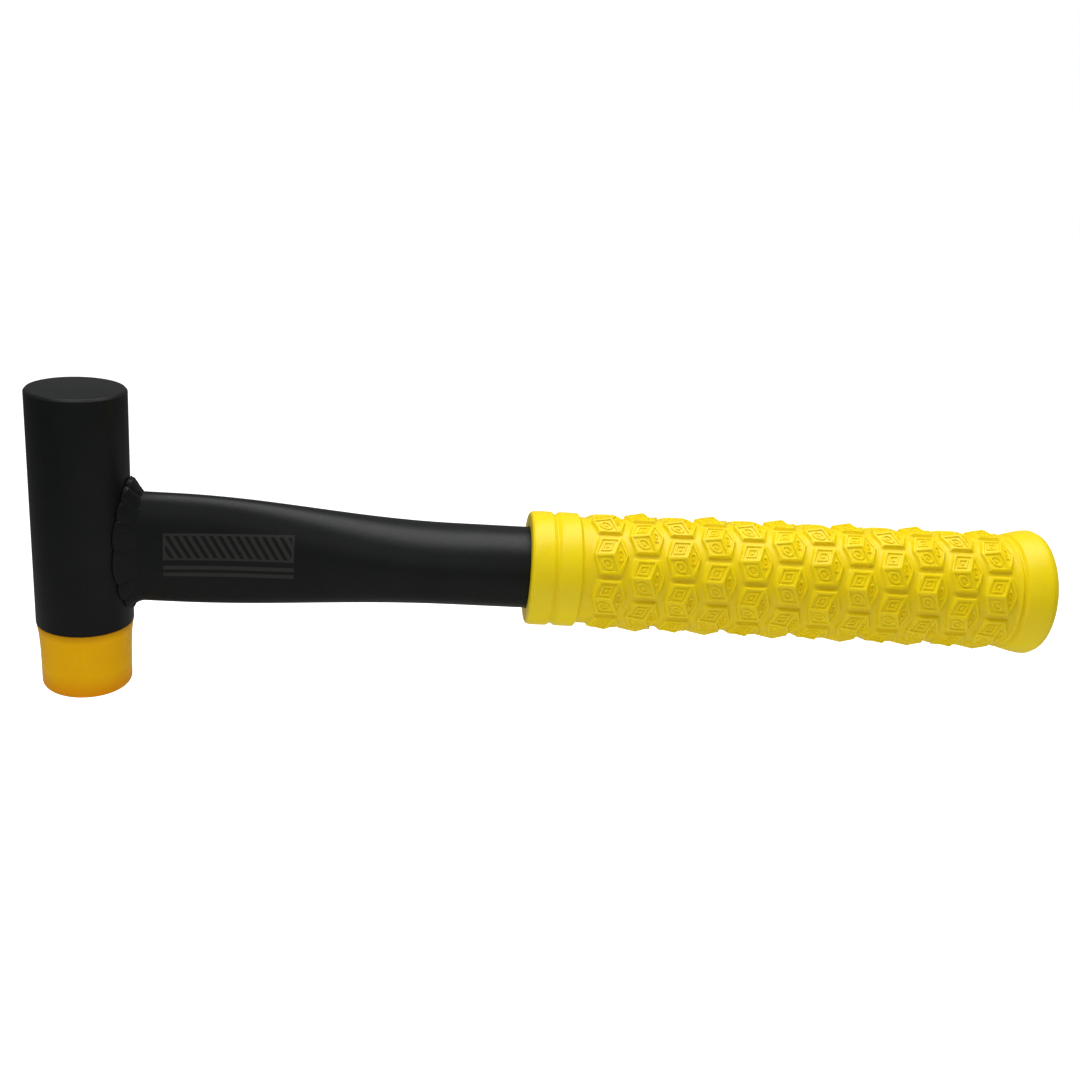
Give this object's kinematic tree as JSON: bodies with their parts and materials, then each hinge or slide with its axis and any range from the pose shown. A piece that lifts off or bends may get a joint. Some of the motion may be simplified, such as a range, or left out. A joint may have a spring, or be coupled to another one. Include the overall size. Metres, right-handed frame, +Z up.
{
  "type": "two-faced shop hammer",
  "caption": "Two-faced shop hammer: steel bar head welded to a flattened tube handle, screw-in soft plastic tip, moulded rubber grip with raised cube pattern.",
  "frame": {"origin": "centre of the soft tip's flat striking face", "axes": "+Z up the head to the steel face, +X along the handle to the butt of the grip, Y across the handle"},
  "size_m": [0.3153, 0.0402, 0.094],
  "materials": {
    "black_steel_head": "satin black coating",
    "black_steel_tube": "satin black coating",
    "black_steel_weld": "satin black coating over a rippled weld",
    "amber_plastic": "slightly translucent, semi-gloss",
    "plated_steel_stud": "zinc plated",
    "plated_steel_washer": "zinc plated",
    "yellow_rubber": "satin moulded rubber",
    "grey_plastic": "matt moulded plastic"
  },
  "bodies": {
    "head_and_handle": {"head_body": "black_steel_head", "handle_tube": "black_steel_tube", "weld_bead": "black_steel_weld", "grip_sleeve": "yellow_rubber", "tube_end_plug": "grey_plastic"},
    "washer": {"lock_washer": "plated_steel_washer"},
    "tip": {"soft_tip": "amber_plastic", "tip_stud": "plated_steel_stud"}
  },
  "joints": [
    {"name": "tip_travel", "type": "slide", "parent": "head_and_handle", "child": "washer", "axis": [0, 0, -1], "range_m": [0, 0.014]},
    {"name": "tip_turn", "type": "hinge", "parent": "washer", "child": "tip", "pos_m": [0, 0, 0.0214], "axis": [0, 0, -1], "range_deg": [0, 2882]}
  ],
  "couplings": [
    {"joint": "tip_turn", "follows": "tip_travel", "rad_per_m": 3590.4}
  ]
}
